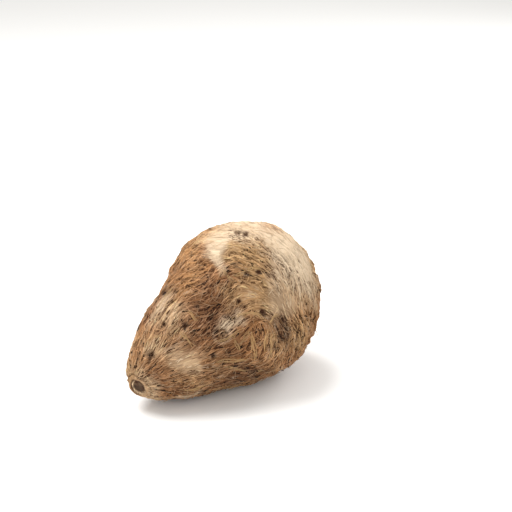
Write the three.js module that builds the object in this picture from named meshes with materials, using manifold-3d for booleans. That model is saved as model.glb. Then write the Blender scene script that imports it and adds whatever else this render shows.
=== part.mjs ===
// A taro root lying on its side, in millimetres, +Z up.
// It is one grown body: a blunt nose with the scar where it broke off its parent, a flank that
// swells to a round end, a fibrous husk worn away in patches, leaf rings, root pits and coarse strands.
// X runs along the root with the scar at the low end of X, and the root rests on a small flat at Z = 0.
import * as THREE from "three";
import { ImprovedNoise } from "three/addons/math/ImprovedNoise.js";
import { mergeVertices } from "three/addons/utils/BufferGeometryUtils.js";
import Module from "manifold-3d";

const wasm = await Module();
wasm.setup();
const radians = THREE.MathUtils.degToRad;

// Driving dimensions
const LENGTH = 96.4;
const BELLY_RADIUS = 33.5;
const NOSE_RADIUS = 10.9;
const NOSE_LEAN = radians(33.4); // where the nose's arc ends, past square to the axis
const BELLY_LEAN = radians(23.5); // where the round end's arc starts, past square
const FLANK_FULLNESS = 0.5; // how far the flank holds the slope that each arc gives it
const PITCH = radians(18.8); // the axis dips this much towards the nose
const OVAL = 0.02; // the section is higher than it is wide by this share each way
const FLAT_DEPTH = 0.8; // how much of the underside the resting flat takes off
const SKIN_DETAIL = 16; // subdivisions of the icosahedron that the skin is drawn from
const HUSK_THICKNESS = 0.55; // how far the husk stands above the skin of a worn patch
const HUSK_EDGE = 1.6; // width of the slope at the edge of a worn patch
const RING_STEP = 0.4; // height of the step where one leaf base ends over the next
const RING_WANDER = 2.6; // how far a ring strays along the root
const STRAND_HEIGHT = 0.75;
const STRAND_DIVE = 0.5; // how far a strand's ends go down into the skin
const SCAR_RADIUS = 4.5; // of the papery ring that stands round the scar's hollow
const SCAR_DEPTH = 1.6;
const SCAR_SIDE = -2.1; // from the pole to the middle of the scar, along the skin
const SCAR_UP = -1.8;
const SMALLEST_EDGE = 0.03;

// Places on the skin are given as `down`, in mm along the outline from the scar, and `around`, in
// radians from the top of the root towards +Y. A `turn` of 0 lies along the root, a quarter turn across it.
const LEAF_RINGS = [10, 19, 29, 40, 50, 61, 72, 83, 94, 104];

// Swellings and dents of the body, each fading out over its reach
const LUMPS = [
  { down: 20, around: radians(14), reach: 9, height: 1.0 },
  { down: 28, around: radians(43), reach: 5, height: 1.5 },
  { down: 24, around: radians(45), reach: 5, height: -0.6 },
  { down: 40, around: radians(44), reach: 8, height: -0.7 },
  { down: 9, around: radians(170), reach: 9, height: 1.3 },
  { down: 101, around: radians(2), reach: 10, height: 1.7 },
  { down: 86, around: radians(14), reach: 8, height: -1.0 },
  { down: 109, around: radians(-82), reach: 9, height: 0.7 },
  { down: 69, around: radians(-153), reach: 9, height: -0.7 },
  { down: 62, around: radians(46), reach: 9, height: 0.6 },
  { down: 88, around: radians(-100), reach: 22, height: -1.0 },
  { down: 75, around: radians(-134), reach: 8, height: 0.6 },
  { down: 100, around: radians(-113), reach: 9, height: -0.5 },
  { down: 20, around: radians(-150), reach: 14, height: 0.8 },
  { down: 62, around: radians(95), reach: 20, height: -0.9 },
  { down: 42, around: radians(150), reach: 14, height: 0.9 },
];

// Patches where the husk has worn off and the pale skin shows
const WORN = [
  { down: 71, around: radians(3), length: 30, breadth: 13, turn: radians(54) },
  { down: 73, around: radians(-70), length: 13, breadth: 14, turn: 0 },
  { down: 26.5, around: radians(-70), length: 14, breadth: 12, turn: 0 },
  { down: 61, around: radians(-50), length: 11, breadth: 8, turn: 0 },
  { down: 98, around: radians(-30), length: 24, breadth: 40, turn: 0 },
  { down: 56, around: radians(70), length: 26, breadth: 12, turn: radians(12) },
  { down: 84, around: radians(140), length: 20, breadth: 24, turn: 0 },
  { down: 33, around: radians(118), length: 16, breadth: 9, turn: radians(-10) },
  { down: 118, around: radians(30), length: 13, breadth: 13, turn: 0 },
];

// Pits that the small roots left
const PITS = [
  { down: 29, around: radians(-13.4), breadth: 1.8 },
  { down: 34.2, around: radians(-36.4), breadth: 2.1 },
  { down: 16.4, around: radians(-30.8), breadth: 2.3 },
  { down: 36.9, around: radians(-81.1), breadth: 2.0 },
  { down: 34.5, around: radians(-90.6), breadth: 1.8 },
  { down: 38.4, around: radians(-4.5), breadth: 1.7 },
  { down: 43.2, around: radians(-31), breadth: 1.7 },
  { down: 57.5, around: radians(-50.6), breadth: 2.0 },
  { down: 58.1, around: radians(-57), breadth: 1.8 },
  { down: 63.5, around: radians(-67.4), breadth: 2.7 },
  { down: 52.2, around: radians(-59.8), breadth: 1.6 },
  { down: 66.9, around: radians(-37.6), breadth: 1.9 },
  { down: 71.5, around: radians(-42.6), breadth: 2.4 },
  { down: 70.3, around: radians(-81.7), breadth: 1.9 },
  { down: 69.7, around: radians(-94.1), breadth: 2.0 },
  { down: 73.8, around: radians(-101.4), breadth: 2.0 },
  { down: 79.7, around: radians(-5.5), breadth: 1.7 },
  { down: 81.3, around: radians(-10.3), breadth: 1.9 },
  { down: 94.6, around: radians(-52.9), breadth: 1.7 },
  { down: 24, around: radians(64), breadth: 1.9 },
  { down: 46, around: radians(112), breadth: 2.1 },
  { down: 68, around: radians(40), breadth: 1.8 },
  { down: 77, around: radians(98), breadth: 2.2 },
  { down: 104, around: radians(105), breadth: 1.8 },
  { down: 58, around: radians(162), breadth: 1.9 },
];

// Coarse strands of husk, lying on the skin
const STRANDS = [
  { down: 54.2, around: radians(-96), length: 19, breadth: 1.9, turn: radians(98) },
  { down: 61.8, around: radians(-102), length: 20, breadth: 2.1, turn: radians(97) },
  { down: 49.4, around: radians(-78.5), length: 10, breadth: 1.7, turn: radians(104) },
  { down: 45.4, around: radians(-74), length: 12, breadth: 1.6, turn: radians(20) },
  { down: 45.8, around: radians(-95), length: 15, breadth: 1.7, turn: radians(-28) },
  { down: 55.5, around: radians(-70), length: 12, breadth: 1.8, turn: radians(-62) },
  { down: 38.5, around: radians(3), length: 13, breadth: 1.8, turn: radians(4) },
  { down: 35.8, around: radians(-12), length: 11, breadth: 1.6, turn: radians(-8) },
  { down: 63.5, around: radians(-30), length: 15, breadth: 1.6, turn: radians(-52) },
  { down: 24.5, around: radians(-121), length: 17, breadth: 1.9, turn: radians(6) },
  { down: 36, around: radians(42), length: 17, breadth: 1.8, turn: radians(9) },
  { down: 72, around: radians(66), length: 18, breadth: 1.9, turn: radians(-24) },
  { down: 50, around: radians(140), length: 16, breadth: 1.8, turn: radians(14) },
  { down: 92, around: radians(78), length: 17, breadth: 2.0, turn: radians(40) },
];

// A resting bud with a hole in its middle, and a split in the husk low on one side
const BUD = { down: 44.5, around: radians(-66), length: 4.6, breadth: 4.2, turn: 0 };
const SPLIT = { down: 53.9, around: radians(-120), length: 9, breadth: 2.3, turn: radians(-27) };

// The outline that turns about the axis, from the scar to the far pole: x along the axis, y the radius
const bellyCentre = LENGTH - BELLY_RADIUS;
const noseEnd = new THREE.Vector2(
  NOSE_RADIUS * (1 - Math.sin(NOSE_LEAN)),
  NOSE_RADIUS * Math.cos(NOSE_LEAN),
);
const bellyStart = new THREE.Vector2(
  bellyCentre - BELLY_RADIUS * Math.sin(BELLY_LEAN),
  BELLY_RADIUS * Math.cos(BELLY_LEAN),
);
const flankHold = FLANK_FULLNESS * noseEnd.distanceTo(bellyStart);
const outline = new THREE.Path();
outline.absarc(NOSE_RADIUS, 0, NOSE_RADIUS, Math.PI, Math.PI / 2 + NOSE_LEAN, true);
outline.bezierCurveTo(
  noseEnd.x + flankHold * Math.cos(NOSE_LEAN),
  noseEnd.y + flankHold * Math.sin(NOSE_LEAN),
  bellyStart.x - flankHold * Math.cos(BELLY_LEAN),
  bellyStart.y - flankHold * Math.sin(BELLY_LEAN),
  bellyStart.x,
  bellyStart.y,
);
outline.absarc(bellyCentre, 0, BELLY_RADIUS, Math.PI / 2 + BELLY_LEAN, 0, true);
const OUTLINE_LENGTH = outline.getLength();

function outlineRadius(down) {
  return outline.getPoint(THREE.MathUtils.clamp(down / OUTLINE_LENGTH, 0, 1)).y;
}

const noise = new ImprovedNoise();

function noiseAt(point, size, seed) {
  return noise.noise(point.x / size + seed, point.y / size + 2.9, point.z / size + 5.1);
}

// How far a place lies from a spot on the skin, in mm along the root and across it
function offsetFrom(spot, down, around) {
  const across = Math.atan2(Math.sin(around - spot.around), Math.cos(around - spot.around));
  return new THREE.Vector2(down - spot.down, across * outlineRadius(spot.down));
}

function lumpHeight(down, around) {
  return LUMPS.reduce((sum, lump) => {
    const away = offsetFrom(lump, down, around).length() / lump.reach;
    return sum + lump.height * Math.exp(-away * away);
  }, 0);
}

// How much of the husk is left at a place, from 0 in a worn patch to 1 outside it
function huskLeft(down, around, point) {
  return WORN.reduce((left, patch) => {
    const away = offsetFrom(patch, down, around).rotateAround(new THREE.Vector2(), -patch.turn);
    const share = Math.hypot((2 * away.x) / patch.length, (2 * away.y) / patch.breadth);
    const edge = ((share - 1) * Math.min(patch.length, patch.breadth)) / 2;
    return left * THREE.MathUtils.smoothstep(edge + 3 * noiseAt(point, 7, 1.7), 0, HUSK_EDGE);
  }, 1);
}

// The husk rises towards each leaf ring and drops at it
function ringHeight(down, point) {
  const strayed = down + RING_WANDER * noiseAt(point, 16, 9.4);
  const next = LEAF_RINGS.findIndex((ring) => ring > strayed);
  if (next < 1) {
    return 0;
  }
  const share = (strayed - LEAF_RINGS[next - 1]) / (LEAF_RINGS[next] - LEAF_RINGS[next - 1]);
  return RING_STEP * (share < 0.72 ? share / 0.72 : (1 - share) / 0.28);
}

function relief(down, around, point) {
  return (
    1.2 * noiseAt(point, 34, 7.3) +
    0.5 * noiseAt(point, 13, 3.3) +
    lumpHeight(down, around) +
    huskLeft(down, around, point) * (HUSK_THICKNESS + ringHeight(down, point))
  );
}

// The pitch that lays the underside along the floor
const lying = new THREE.Matrix4().makeRotationY(-PITCH);

// A point of the skin, raised off it by `lift`
function skinPoint(down, around, lift = 0) {
  const share = THREE.MathUtils.clamp(down / OUTLINE_LENGTH, 0, 1);
  const at = outline.getPoint(share);
  const along = outline.getTangent(THREE.MathUtils.clamp(share, 0.002, 0.998));
  const spoke = new THREE.Vector3(
    0,
    Math.sin(around) * (1 - OVAL),
    Math.cos(around) * (1 + OVAL),
  );
  const normal = new THREE.Vector3(-along.y, 0, 0).addScaledVector(spoke, along.x).normalize();
  const point = new THREE.Vector3(at.x, 0, 0).addScaledVector(spoke, at.y);
  const raised = relief(down, around, point) + lift;
  return point.addScaledVector(normal, raised).applyMatrix4(lying);
}

// A geometry with the vertices that lie within `tolerance` made one, and the triangles that this closes
// up left out
function welded(geometry, tolerance) {
  geometry.deleteAttribute("normal");
  geometry.deleteAttribute("uv");
  const merged = mergeVertices(geometry, tolerance);
  const kept = new Map();
  for (let i = 0; i < merged.index.count; i += 3) {
    const triangle = [0, 1, 2].map((step) => merged.index.getX(i + step));
    const key = [...triangle].sort().join();
    if (kept.has(key)) {
      kept.delete(key);
    } else if (new Set(triangle).size === 3) {
      kept.set(key, triangle);
    }
  }
  return merged.setIndex([...kept.values()].flat());
}

// A three.js geometry as a closed solid, with its vertices moved by `place`
function solidFrom(geometry, place) {
  const closed = welded(geometry, 1e-4);
  const position = closed.getAttribute("position");
  const vertex = new THREE.Vector3();
  for (let i = 0; i < position.count; i++) {
    vertex.fromBufferAttribute(position, i);
    position.setXYZ(i, ...place(vertex).toArray());
  }
  return new wasm.Manifold(
    new wasm.Mesh({
      numProp: 3,
      vertProperties: position.array,
      triVerts: new Uint32Array(closed.index.array),
    }),
  );
}

// The whole skin, a ball whose circles of latitude are laid along the outline
function skin() {
  return solidFrom(new THREE.IcosahedronGeometry(1, SKIN_DETAIL), (vertex) => {
    const down = (Math.acos(THREE.MathUtils.clamp(-vertex.x, -1, 1)) / Math.PI) * OUTLINE_LENGTH;
    return skinPoint(down, Math.atan2(vertex.y, vertex.z));
  });
}

// A lens lying in the skin: half of its thickness stands above the skin and half lies below, and its
// two ends dip by `dive`
function lens({ down, around, length, breadth, turn }, thickness, [segments, rows], dive = 0) {
  const ball = new THREE.SphereGeometry(1, segments, rows);
  return solidFrom(ball, (vertex) => {
    const flat = new THREE.Vector2((vertex.x * length) / 2, (vertex.y * breadth) / 2);
    flat.rotateAround(new THREE.Vector2(), turn);
    return skinPoint(
      down + flat.x,
      around + flat.y / outlineRadius(down),
      (vertex.z * thickness) / 2 - dive * vertex.x * vertex.x,
    );
  });
}

// What the scar takes out of the nose: a hollow core, and a groove outside the ring left standing
function scarCut() {
  const profile = [
    [0, -SCAR_DEPTH],
    [SCAR_RADIUS * 0.55, -0.9 * SCAR_DEPTH],
    [SCAR_RADIUS * 0.8, -0.6 * SCAR_DEPTH],
    [SCAR_RADIUS * 0.92, 0.5],
    [SCAR_RADIUS * 1.1, 0.5],
    [SCAR_RADIUS * 1.18, -0.6],
    [SCAR_RADIUS * 1.32, -0.7],
    [SCAR_RADIUS * 1.5, 0.5],
    [SCAR_RADIUS * 1.5, 3],
    [0, 3],
  ].map(([radius, lift]) => new THREE.Vector2(radius, lift));
  return solidFrom(new THREE.LatheGeometry(profile, 24), (vertex) => {
    const ragged = 1 + 0.16 * noise.noise(vertex.x / 3 + 4.2, vertex.z / 3 + 1.6, 0.5);
    const side = SCAR_SIDE - vertex.z * ragged;
    const up = SCAR_UP + vertex.x * ragged;
    return skinPoint(Math.hypot(side, up), Math.atan2(side, up), vertex.y);
  });
}

function corm() {
  const strands = STRANDS.map((strand) => lens(strand, 2 * STRAND_HEIGHT, [8, 5], STRAND_DIVE));
  const pits = PITS.map((pit) => lens({ ...pit, length: pit.breadth, turn: 0 }, 2.4, [7, 4]));
  const budMound = lens(BUD, 1.7, [12, 6]);
  const budHole = lens({ ...BUD, length: BUD.length / 2, breadth: BUD.breadth / 2 }, 3.2, [8, 4]);
  const split = lens(SPLIT, 2.2, [10, 4]);
  const grown = wasm.Manifold.union([skin(), budMound, ...strands]);
  return wasm.Manifold.difference([grown, ...pits, budHole, split, scarCut()]);
}

// Everything above the floor, as a geometry whose lowest face lies at Z = 0 under the middle of its box
function laidDown(solid) {
  const lowest = solid.boundingBox().min[2];
  const floor = solidFrom(new THREE.BoxGeometry(3 * LENGTH, 3 * LENGTH, LENGTH), (vertex) =>
    vertex.setZ(vertex.z + lowest + FLAT_DEPTH - LENGTH / 2),
  );
  const mesh = solid.subtract(floor).getMesh();
  const geometry = new THREE.BufferGeometry();
  geometry.setAttribute("position", new THREE.BufferAttribute(mesh.vertProperties, 3));
  geometry.setIndex(new THREE.BufferAttribute(mesh.triVerts, 1));
  const closed = welded(geometry, SMALLEST_EDGE);
  closed.computeBoundingBox();
  const { min, max } = closed.boundingBox;
  return closed.translate(-(min.x + max.x) / 2, -(min.y + max.y) / 2, -min.z);
}

const husk = new THREE.MeshStandardMaterial({ color: 0xa07a55, roughness: 0.9, metalness: 0 });
const body = new THREE.Mesh(laidDown(corm()), husk);
body.name = "corm";

const root = new THREE.Group();
root.add(body);
export default root;
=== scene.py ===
import functools
import math

import bpy
import numpy as np
from bpy.props import FloatProperty, FloatVectorProperty, IntProperty, PointerProperty
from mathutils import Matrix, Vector
from mathutils.bvhtree import BVHTree


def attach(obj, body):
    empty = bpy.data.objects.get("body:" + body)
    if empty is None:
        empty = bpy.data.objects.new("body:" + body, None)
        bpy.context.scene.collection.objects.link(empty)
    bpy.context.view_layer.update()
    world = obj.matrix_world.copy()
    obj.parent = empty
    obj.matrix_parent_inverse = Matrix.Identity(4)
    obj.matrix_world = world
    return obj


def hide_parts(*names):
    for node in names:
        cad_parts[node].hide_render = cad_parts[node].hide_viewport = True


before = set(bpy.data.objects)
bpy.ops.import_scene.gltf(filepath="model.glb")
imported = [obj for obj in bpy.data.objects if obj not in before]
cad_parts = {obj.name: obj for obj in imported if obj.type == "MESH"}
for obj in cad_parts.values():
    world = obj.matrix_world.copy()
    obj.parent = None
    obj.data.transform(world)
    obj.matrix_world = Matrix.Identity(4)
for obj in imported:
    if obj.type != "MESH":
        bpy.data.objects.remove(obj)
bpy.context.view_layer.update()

bl_info = {
    "name": "Taro root",
    "version": (1, 0, 0),
    "blender": (4, 5, 0),
    "location": "3D View > Sidebar > Taro root",
    "description": "Gives a packed taro root its husk, fibres and hairs on a plain stage",
    "category": "Add Mesh",
}

MM = 0.001
HUSK_DEPTH = 0.36  # mm from the body's surface down to the skin under the fibres
NOSE_SWELL = 1.1  # mm that the husk adds at the lower edge of the nose
NOSE_EDGE = (4.2, 146, 4.2)  # where: down, around in degrees, and reach in mm
FOOT = 0.05  # mm that the edges of a fibre reach into the skin
FLOOR_GAP = 0.02  # mm that fibres stay above the floor
MAP_MARGIN = 0.004  # share of the skin's UV map that is left free at each edge
CELL_MARGIN = 0.12  # the same for a fibre's cell in its UV map

# The outline of the body, as it was built: it turns about an axis that runs from the scar to the
# round end. Places on the skin are (down, around): mm along the outline from the scar, and radians
# from the top towards +Y. The lists of places below give the second in degrees.
LENGTH = 96.4
BELLY_RADIUS = 33.5
NOSE_RADIUS = 10.9
NOSE_LEAN = math.radians(33.4)
BELLY_LEAN = math.radians(23.5)
FLANK_FULLNESS = 0.5
PITCH = math.radians(18.8)
OVAL = 0.02
SCAR_POLE = np.array([-46.442, -0.14, 13.809])
SCAR_SIDE, SCAR_UP = -2.1, -1.8  # from the pole to the middle of the scar, along the skin


def paint(red, green, blue, light=1.3):
    """A colour seen in the studio's light, as the linear colour of the surface."""
    seen = np.array([red, green, blue]) / 255
    linear = np.where(seen > 0.04045, ((seen + 0.055) / 1.055) ** 2.4, seen / 12.92)
    return tuple(linear * (1.0, 0.915, 0.76) / light)


# Colours of the husk and of the skin under it
CREAM = paint(240, 225, 209)
PALE = paint(212, 186, 160)
TAN = paint(192, 158, 124)
GREY_BEIGE = paint(200, 177, 154)
STRAW = paint(178, 138, 100)
OLIVE = paint(179, 149, 113)
BROWN = paint(154, 111, 76)
RED_BROWN = paint(130, 90, 64)
DARK = paint(90, 56, 34)
PIT = paint(70, 40, 22)
STRAND = paint(208, 178, 136)
# How much of each of red, green and blue a dark fibre takes away
DARKER_PARTS = np.array([0.96, 1.02, 1.05])

# Zones of each colour: down, around, reach along, reach across, weight. A few spots are painted
# highlight and painted shade, as marked below.
ZONES = {
    CREAM: (
        (62.1, -17, 1.4, 1.6, 3.4), (63.8, -12.7, 2, 2.2, 3.8), (66.2, -7.5, 2.8, 2.6, 3.6),
        (68.6, -3.1, 3.2, 3, 3.4), (72.1, 3.9, 4.2, 4.2, 3), (90, 6, 8, 12, 1.8),
        (98, -30, 9, 13, 3), (97, -62, 7, 8, 2.8), (86, -54, 6, 8, 3.2), (79, -6, 4, 6, 2.8),
        # On the next line, the spot at 92, -70 is the right rim's paler husk with a painted
        # highlight on it, and the spot at 35, 11 is a painted highlight streak on the left flank
        (49.5, -61, 2.8, 3.3, 4.4), (92, -70, 6, 6, 3.2), (35, 11, 6, 3, 2.4),
        (21, -140, 5, 1.6, 2.2),
    ),
    PALE: (
        (60.5, -21, 1, 1.2, 3), (84, -4, 5, 6, 1.8), (76, 13, 6, 7, 2.2), (96, -85, 6, 8, 1.8),
        (81, -32, 3, 5, 1.6), (73, -66, 3, 5, 3.4), (46.5, -62, 2, 2.5, 3), (30, 4, 6, 4, 1.8),
        # On the next line, the spot at 32.5, -18 widens the painted highlight of the left flank
        (32.5, -18, 5, 6, 2.6), (8, -62, 3, 4, 3), (20.5, -27, 4, 4, 2.6), (8, -128, 4, 6, 2.4),
        (25, -67, 4.5, 4.5, 3.4), (27, -81, 4, 3.5, 2), (56, 70, 9, 6, 1.6), (118, 20, 8, 10, 1.4),
        (118, 150, 6, 8, 1.2),
    ),
    TAN: (
        (68.5, 12, 4, 5, 2.6), (61, -50, 5, 5, 1.6), (75, -43, 3, 4, 1.4), (85, -72, 6, 7, 1.2),
        (65, -98, 4, 6, 3.4), (63, -126, 3, 4, 1.6), (61, -98, 3, 8, 1.6), (19, 22, 4, 5, 1.4),
        (7.5, 28, 5, 7, 2.8), (8, -19, 4, 5, 3), (25, -108, 4, 4, 1.6), (37, -99, 3, 4, 1.4),
        (33, 118, 8, 5, 1.6), (50, 168, 8, 8, 2), (110, 90, 10, 14, 1.2), (110, -60, 6, 10, 1.6),
    ),
    GREY_BEIGE: (
        (74, -70, 6, 7, 4.6), (84, 140, 9, 12, 2.8),
    ),
    STRAW: (
        (79, -90, 5, 6, 1.4), (74, -96, 3, 4, 1.8), (52, 4, 8, 9, 1.6), (64, 28, 8, 9, 1.6),
        (74, 29, 4, 5, 2.2), (27, -34, 5, 4, 1.4), (23, -98, 4, 4, 2), (100, 165, 8, 8, 1.6),
    ),
    OLIVE: (
        (67.3, -17.9, 2.2, 3, 2.6), (70.9, -14.6, 2.4, 3, 2.4), (76, -24, 6, 6, 2.4),
        (71, -19, 3, 3, 1.6), (71, -42, 5, 6, 1.8), (68, -57, 4, 5, 3.4), (57, -40, 3, 3.5, 1.4),
        (62.5, -54, 3, 3, 1.2), (75, -104, 5, 6, 1.8), (80, 70, 12, 14, 1.2), (70, 104, 8, 8, 2.8),
        (20, 88, 6, 6, 1.6), (44, -168, 9, 8, 1.4), (118, -120, 6, 8, 1.4),
    ),
    BROWN: (
        (64.7, 2.9, 2.6, 3.2, 3.6), (60.8, -8.8, 2.4, 3, 3), (97, -8, 4, 5, 4.4),
        (90, -108, 8, 8, 1.8), (54, -83, 6, 6, 1.8), (56, -106, 5, 5, 1.4), (66, -118, 8, 7, 1.6),
        (50, 10, 4, 5, 1.2), (98, -109, 4, 6, 3), (36, -36, 2.5, 3, 1.6), (16.5, -52, 3, 3.5, 1.6),
        (24.5, 2, 5, 6, 3.6), (13, 8, 3.5, 4.5, 2.2), (13, -30, 4, 4, 1.2), (17, -127, 5, 6, 2.4),
        (53, 15, 4, 5, 1.4), (18, -102, 8, 6, 1.4), (40, -92, 6, 6, 2), (41, -73, 3.5, 4, 1.6),
        (35, -77, 3, 3.5, 1.8), (50, 60, 14, 12, 1.4), (30, 170, 12, 10, 1.2),
        (74, 176, 10, 10, 1.6), (104, -150, 14, 14, 1.2),
    ),
    RED_BROWN: (
        (61.5, -25, 2, 2.2, 2.2), (44.5, -54, 2.2, 3, 2.6), (40, -47, 8, 8, 2.2),
        (55, -30, 6, 6, 1.4), (31, 38, 7, 7, 2.8), (54, 29, 5, 6, 2.4), (26.5, -49, 3, 3.5, 2.8),
        (14, -108, 4, 3, 1.8), (12.5, -68, 3, 3, 2), (10, -52, 4, 5, 1.2), (49, -80, 4, 6, 1.6),
        (60, 130, 12, 10, 2.4), (95, 112, 8, 8, 2.4), (88, -160, 8, 8, 1.4),
    ),
    DARK: (
        # On the next two lines, the spot at 69, -88 is darker husk deepened with painted shade on
        # the lower flank, and the spots at 38, -116 and 50, -124 are painted shade on the underside
        (69, -88, 4, 7, 4.6), (42.5, -52, 3, 3, 1.2), (46, -47, 5, 8, 2.2), (43, 21, 7, 5, 2.4),
        (19, -124, 5, 2, 2.4), (40, -88, 5, 5, 2.4), (38, -116, 9, 6, 1.6), (50, -124, 9, 7, 1.4),
        (44, 98, 8, 8, 1.4), (68, 158, 6, 8, 1.8), (125, 90, 3, 3, 2),
    ),
}

# The pale wedge near the top has a clean edge, where the zones stray less: down, around, reach
CLEAN_WEDGE = (66, -9, 9)

# Noise that moves the zones and makes the worn patches ragged: strength and size of each layer
ZONE_WARP = ((3.0, 7), (1.2, 2.6))
WORN_EDGE = ((2.6, 3.5), (0.9, 1.1))
# How fibres stray from their heading: radians, and size in mm
FIBRE_STRAY = ((0.30, 6), (0.14, 2.5))

# Patches where the husk has worn off: down, around, length, breadth, turn in degrees
WORN = [
    (71, 3, 30, 13, 54), (88, 1, 12, 16, 0), (64, -12, 9, 7, 54), (73, -70, 13, 14, 0),
    (26.5, -70, 14, 12, 0), (61, -50, 11, 8, 0), (98, -30, 24, 40, 0), (56, 70, 26, 12, 12),
    (84, 140, 20, 24, 0), (33, 118, 16, 9, -10), (118, 30, 13, 13, 0),
]

# Dark stains, most of them round a pit: down, around, reach along, reach across, strength
STAINS = [
    (29, -13.4, 1.3, 1.5, 0.9), (34.2, -36.4, 1.4, 1.5, 0.9), (16.4, -30.8, 2, 1.9, 0.8),
    (36.9, -81.1, 1.5, 1.7, 0.9), (34.5, -90.6, 1.6, 1.5, 0.6), (38.4, -4.5, 1.7, 1.3, 0.6),
    (43.2, -31, 1.6, 1.5, 0.5), (57.5, -50.6, 1.4, 1.4, 0.7), (58.1, -57, 1.2, 1.4, 0.6),
    (63.5, -67.4, 1.5, 2.2, 0.9), (52.2, -59.8, 1.8, 1.6, 0.5), (66.9, -37.6, 1.7, 1.7, 0.7),
    (71.5, -42.6, 2.6, 1.5, 0.8), (67, -28, 2, 1.8, 0.5), (70.3, -81.7, 2, 2.4, 0.7),
    (69.7, -94.1, 1.6, 2.8, 0.8), (67, -95, 1.4, 2, 0.7), (69.2, -104.6, 1.8, 2.2, 0.6),
    (73.8, -101.4, 1.5, 1.7, 0.7), (79.7, -5.5, 1.5, 1.5, 0.9), (81.3, -10.3, 1.7, 1.5, 0.9),
    (94.6, -52.9, 1.3, 1.3, 0.7), (49.5, -114.5, 1.6, 1.3, 0.9), (52, -119, 1.7, 1.4, 0.9),
    (54.5, -122.5, 1.7, 1.4, 0.9), (57.3, -126, 1.6, 1.3, 0.9), (24, 64, 1.5, 1.5, 0.8),
    (46, 112, 1.7, 1.7, 0.8), (68, 40, 1.5, 1.5, 0.8), (77, 98, 1.7, 1.7, 0.8),
    (104, 105, 1.6, 1.6, 0.8), (58, 162, 1.6, 1.6, 0.7), (86, 60, 2.4, 2, 0.5),
    (95, 150, 2.6, 2.2, 0.5),
]

# The resting bud: down, around, and the mm over which the pit round it stays the colour of husk
BUD = (44.5, -66, 2.6)
# Its rings: mm from its middle, breadth, colour, strength
BUD_RINGS = ((0.0, 1.5, RED_BROWN, 0.7), (2.1, 0.6, PIT, 0.9), (3.6, 0.6, CREAM, 0.25))

# The scar's core and rings: from and to in mm from its middle, colour, and share on its near side
SCAR_RINGS = (
    (-1.0, 3.4, paint(52, 45, 32), 1),
    (3.4, 3.8, paint(120, 100, 76), 1),
    # The papery ring below is pale in its own colour and partly a painted highlight, and the groove
    # after it is painted shade; both are kept mostly to the far side of the scar
    (3.8, 4.8, paint(244, 222, 194), 0.3),
    (4.8, 5.7, paint(60, 34, 18), 0.1),
    (5.7, 7.6, paint(198, 162, 122), 0.1),
)

# Strands of old leaf base, each by places along it: down, around
STRANDS = [
    [(40, -69), (44.3, -70.2), (48.8, -71.6), (53.5, -71.4)],
    [(48.1, -71.4), (47.9, -80), (47.8, -88)], [(48.9, -83), (51.8, -79), (55, -75)],
    [(55.2, -74), (54.4, -83), (53.4, -93), (52.7, -111)],
    [(55.6, -77), (55, -86), (54.4, -97), (53.6, -108)],
    [(64.7, -85), (62.7, -90), (61.2, -99), (60, -111)], [(62.6, -81), (60.3, -89), (58.3, -100)],
    [(37.4, -88), (41.9, -92), (46.3, -96), (51.3, -102)], [(40, -99), (45.2, -108), (50.3, -118)],
    [(53.6, -120), (55.5, -122.6), (57.5, -125)],
    [(50, -60), (55.1, -59), (58.8, -63), (61.3, -68), (62.6, -75)],
    [(62.7, -78), (66.7, -76), (69.8, -76)], [(62.6, -32), (66.3, -36), (70.5, -38), (73.7, -42)],
    [(60.7, -23), (61.1, -29), (60.7, -38)], [(31.2, -37), (31.6, -48), (32, -61)],
    [(39.1, -26), (39.2, -34), (39.4, -42)], [(28.7, 13), (34.2, 10), (40, 12), (44.5, 7)],
    [(26.9, -5), (32.1, -8), (37.5, -6), (42, -6)], [(16, -8), (21, -13), (25, -22)],
    [(20, -120), (26, -122), (33, -118)], [(28, 40), (36, 42), (44, 45)],
    [(64, 70), (72, 66), (80, 58)], [(42, 138), (50, 140), (58, 144)],
    [(86, 70), (92, 78), (98, 88)], [(70, 170), (78, 176), (87, 178)],
]

# Single hairs that stand off the outline: down, around, heading in degrees, length, rise
LONE_HAIRS = [
    (101, -12, -70, 3, 3.4), (106, -38, -90, 3, 1.8), (34, 38, 150, 4, 2.2), (38, 44, 30, 5, 1.6),
    (43, 46, 160, 4, 1.8), (99, -80, -60, 3, 1.6), (88, -118, -100, 3, 2), (8, -60, 170, 2.5, 1.2),
]

# How the fibres turn from the root's length: down, around, reach along, reach across, degrees
HEADINGS = [
    (20, -28, 10, 7, 16), (26, -60, 8, 6, -14), (32, -100, 16, 8, 0), (36, 4, 10, 7, -6),
    (57, 6, 7, 7, -52), (64, 24, 8, 8, -58), (50, -8, 6, 6, -26), (43, -27, 5, 5, -45),
    (56, -38, 6, 6, 34), (46, -62, 7, 8, 16), (78, 0, 8, 9, -66), (88, -30, 12, 12, -82),
    (70, -40, 8, 7, -72), (82, -66, 8, 8, 62), (93, -92, 10, 10, 54), (57, -92, 8, 9, 66),
    (66, -112, 9, 8, 62), (69, -84, 5, 5, 80), (48, -120, 10, 6, -18),
]


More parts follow.
